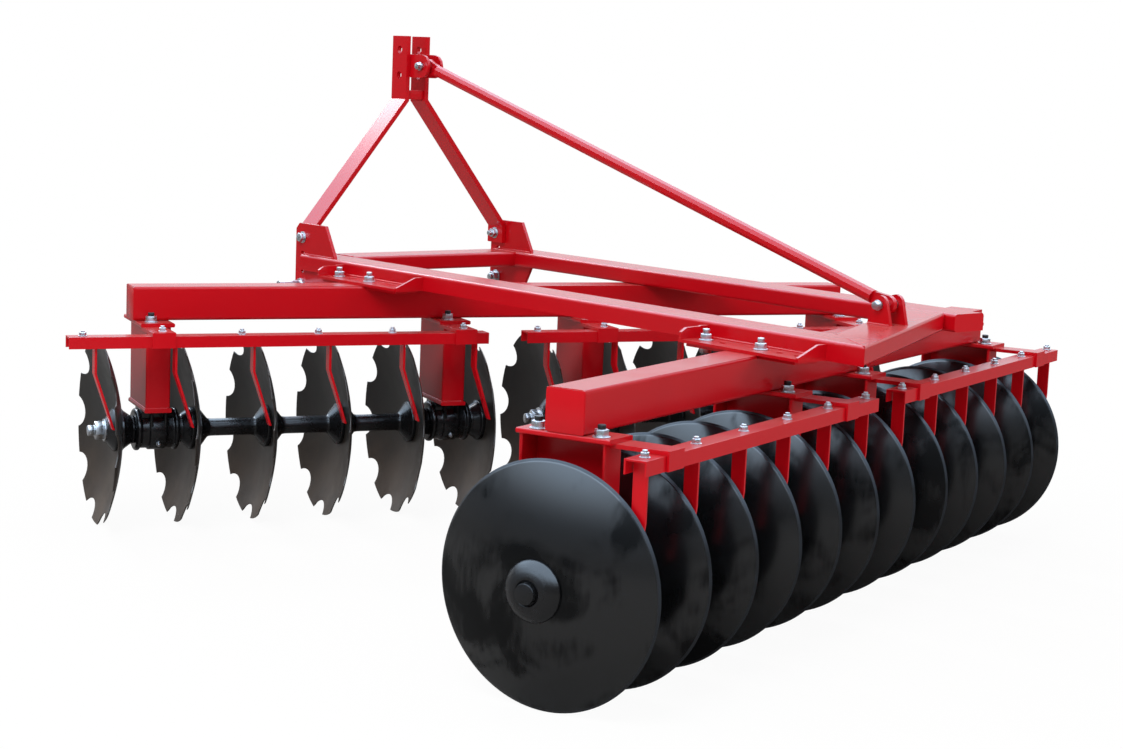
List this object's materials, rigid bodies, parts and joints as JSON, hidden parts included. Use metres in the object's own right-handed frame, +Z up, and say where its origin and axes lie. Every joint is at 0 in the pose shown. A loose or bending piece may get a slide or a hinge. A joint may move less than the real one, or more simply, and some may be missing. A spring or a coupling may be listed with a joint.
{
  "type": "disc harrow",
  "caption": "Mounted offset disc harrow: notched discs in front, plain dished discs behind, bent scrapers, square gang beams, flat box frame and a braced three-point mast.",
  "frame": {"origin": "on the floor under the middle of the machine's box", "axes": "+Z up, +Y towards the tractor, +X to the machine's right; the front gangs lie 17.4 degrees and the rear gangs 18.0 degrees off X"},
  "size_m": [2.718, 2.7046, 1.4758],
  "materials": {
    "red_paint": "glossy red paint",
    "disc_black": "satin black paint",
    "disc_steel": "dark satin gunmetal",
    "gloss_black": "glossy black paint",
    "zinc": "zinc-plated bolts and nuts"
  },
  "bodies": {
    "frame": {"front_left_bearing_1": "gloss_black", "front_left_post_1": "red_paint", "front_left_bearing_2": "gloss_black", "front_left_post_2": "red_paint", "front_left_scraper_bar": "red_paint", "front_right_bearing_1": "gloss_black", "front_right_post_1": "red_paint", "front_right_bearing_2": "gloss_black", "front_right_post_2": "red_paint", "front_right_scraper_bar": "red_paint", "rear_left_bearing_1": "gloss_black", "rear_left_post_1": "red_paint", "rear_left_bearing_2": "gloss_black", "rear_left_post_2": "red_paint", "rear_left_scraper_bar": "red_paint", "rear_right_bearing_1": "gloss_black", "rear_right_post_1": "red_paint", "rear_right_bearing_2": "gloss_black", "rear_right_post_2": "red_paint", "rear_right_scraper_bar": "red_paint", "front_gang_beam": "red_paint", "rear_gang_beam": "red_paint", "left_side_tube": "red_paint", "right_side_tube": "red_paint", "front_cross_tube": "red_paint", "rear_cross_tube": "red_paint", "left_hitch_plate": "red_paint", "right_hitch_plate": "red_paint", "left_mast_bar": "red_paint", "right_mast_bar": "red_paint", "mast_clevis": "red_paint", "brace": "red_paint"},
    "front_left_gang": {"front_left_disc_1": "disc_steel", "front_left_disc_2": "disc_steel", "front_left_disc_3": "disc_steel", "front_left_disc_4": "disc_steel", "front_left_disc_5": "disc_steel", "front_left_disc_6": "disc_steel", "front_left_arbor": "gloss_black"},
    "front_right_gang": {"front_right_disc_1": "disc_steel", "front_right_disc_2": "disc_steel", "front_right_disc_3": "disc_steel", "front_right_disc_4": "disc_steel", "front_right_disc_5": "disc_steel", "front_right_disc_6": "disc_steel", "front_right_arbor": "gloss_black"},
    "rear_left_gang": {"rear_left_disc_1": "disc_black", "rear_left_disc_2": "disc_black", "rear_left_disc_3": "disc_black", "rear_left_disc_4": "disc_black", "rear_left_disc_5": "disc_black", "rear_left_disc_6": "disc_black", "rear_left_arbor": "gloss_black"},
    "rear_right_gang": {"rear_right_disc_1": "disc_black", "rear_right_disc_2": "disc_black", "rear_right_disc_3": "disc_black", "rear_right_disc_4": "disc_black", "rear_right_disc_5": "disc_black", "rear_right_disc_6": "disc_black", "rear_right_arbor": "gloss_black"}
  },
  "joints": [
    {"name": "front_left_gang_turn", "type": "hinge", "parent": "frame", "child": "front_left_gang", "pos_m": [-0.56298, 0.89996, 0.28081], "axis": [-0.9542, 0.299, 0], "continuous": true},
    {"name": "front_right_gang_turn", "type": "hinge", "parent": "frame", "child": "front_right_gang", "pos_m": [0.76246, 0.48459, 0.28081], "axis": [-0.9542, 0.299, 0], "continuous": true},
    {"name": "rear_left_gang_turn", "type": "hinge", "parent": "frame", "child": "rear_left_gang", "pos_m": [-0.76376, -0.92443, 0.28081], "axis": [0.9511, 0.309, 0], "continuous": true},
    {"name": "rear_right_gang_turn", "type": "hinge", "parent": "frame", "child": "rear_right_gang", "pos_m": [0.55726, -0.49521, 0.28081], "axis": [0.9511, 0.309, 0], "continuous": true}
  ]
}
